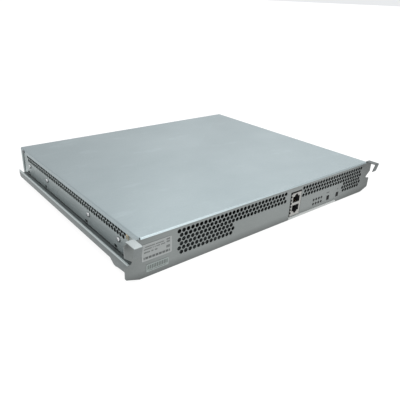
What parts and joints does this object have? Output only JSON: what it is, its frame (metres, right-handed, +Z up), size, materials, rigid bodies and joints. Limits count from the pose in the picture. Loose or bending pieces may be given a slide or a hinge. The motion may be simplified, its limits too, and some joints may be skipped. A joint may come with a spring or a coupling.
{
  "type": "firewall appliance",
  "caption": "Rack-height network security appliance in plain steel: perforated front with stacked sockets, lights and buttons, bezel hooks, side rails and a lift-off cover.",
  "frame": {"origin": "middle of the underside, at the centre of the bounding box's base", "axes": "+X to the right along the front, +Y from the front to the rear, +Z up"},
  "size_m": [0.382, 0.3116, 0.044],
  "materials": {
    "galvanised_sheet": "plain galvanised sheet with a soft directional grain, light wear",
    "panel_steel": "satin grey plated sheet",
    "screw_zinc": "bright zinc plate",
    "socket_shield": "bright tinned sheet",
    "spring_brass": "bare spring brass",
    "label_film": "silver polyester film with plain grey bars",
    "board_laminate": "green solder mask",
    "black_plastic": "moulded, fine texture",
    "grey_plastic": "moulded, smooth",
    "light_pipe_plastic": "clear moulded, unlit",
    "bare_aluminium": "extruded, bare"
  },
  "bodies": {
    "case": {"base_pan": "galvanised_sheet", "left_side_wall": "galvanised_sheet", "right_side_wall": "galvanised_sheet", "rear_panel": "galvanised_sheet", "left_rail": "galvanised_sheet", "right_rail": "galvanised_sheet", "port_bracket": "galvanised_sheet", "psu_case": "galvanised_sheet", "drive_bracket": "galvanised_sheet", "front_panel": "panel_steel", "left_bezel_hook": "panel_steel", "right_bezel_hook": "panel_steel", "side_screw_left_1": "screw_zinc", "side_screw_left_2": "screw_zinc", "side_screw_left_3": "screw_zinc", "side_screw_left_4": "screw_zinc", "cover_screw_left": "screw_zinc", "grounding_clip_left": "spring_brass", "side_screw_right_1": "screw_zinc", "side_screw_right_2": "screw_zinc", "side_screw_right_3": "screw_zinc", "side_screw_right_4": "screw_zinc", "cover_screw_right": "screw_zinc", "grounding_clip_right": "spring_brass", "rating_label": "label_film", "barcode_label": "label_film", "front_port_shield": "socket_shield", "rear_port_shield": "socket_shield", "serial_port": "socket_shield", "front_port_insert": "black_plastic", "rear_port_insert": "black_plastic", "processor": "black_plastic", "memory_slot": "black_plastic", "power_inlet": "black_plastic", "power_harness": "black_plastic", "fan_1_frame": "black_plastic", "fan_2_frame": "black_plastic", "fan_3_frame": "black_plastic", "psu_fan_frame": "black_plastic", "power_switch": "grey_plastic", "reset_switch": "grey_plastic", "front_board": "board_laminate", "main_board": "board_laminate", "memory_module": "board_laminate", "psu_board": "board_laminate", "light_pipe": "light_pipe_plastic", "standoff_1": "spring_brass", "standoff_2": "spring_brass", "standoff_3": "spring_brass", "standoff_4": "spring_brass", "heatsink": "bare_aluminium", "disk_drive": "bare_aluminium"},
    "cover": {"top_cover": "galvanised_sheet"},
    "power_button": {"power_button": "black_plastic"},
    "reset_button": {"reset_button": "black_plastic"},
    "fan_1": {"fan_1_rotor": "grey_plastic"},
    "fan_2": {"fan_2_rotor": "grey_plastic"},
    "fan_3": {"fan_3_rotor": "grey_plastic"},
    "psu_fan": {"psu_fan_rotor": "grey_plastic"},
    "rocker": {"rocker_key": "grey_plastic"}
  },
  "joints": [
    {"name": "cover_lift", "type": "slide", "parent": "case", "child": "cover", "axis": [0, 0, 1], "range_m": [0, 0.06]},
    {"name": "power_press", "type": "slide", "parent": "case", "child": "power_button", "axis": [0, 1, 0], "range_m": [0, 0.0012], "stiffness_N_per_m": 800},
    {"name": "reset_press", "type": "slide", "parent": "case", "child": "reset_button", "axis": [0, 1, 0], "range_m": [0, 0.0012], "stiffness_N_per_m": 800},
    {"name": "fan_1_spin", "type": "hinge", "parent": "case", "child": "fan_1", "pos_m": [-0.112, -0.08355, 0.0216], "axis": [0, 1, 0], "continuous": true},
    {"name": "fan_2_spin", "type": "hinge", "parent": "case", "child": "fan_2", "pos_m": [-0.068, -0.08355, 0.0216], "axis": [0, 1, 0], "continuous": true},
    {"name": "fan_3_spin", "type": "hinge", "parent": "case", "child": "fan_3", "pos_m": [-0.024, -0.08355, 0.0216], "axis": [0, 1, 0], "continuous": true},
    {"name": "psu_fan_spin", "type": "hinge", "parent": "case", "child": "psu_fan", "pos_m": [0.1505, 0.13765, 0.0216], "axis": [0, 1, 0], "continuous": true},
    {"name": "rocker_tilt", "type": "hinge", "parent": "case", "child": "rocker", "pos_m": [0.125, 0.14935, 0.021], "axis": [1, 0, 0], "range_deg": [-16, 0]}
  ]
}
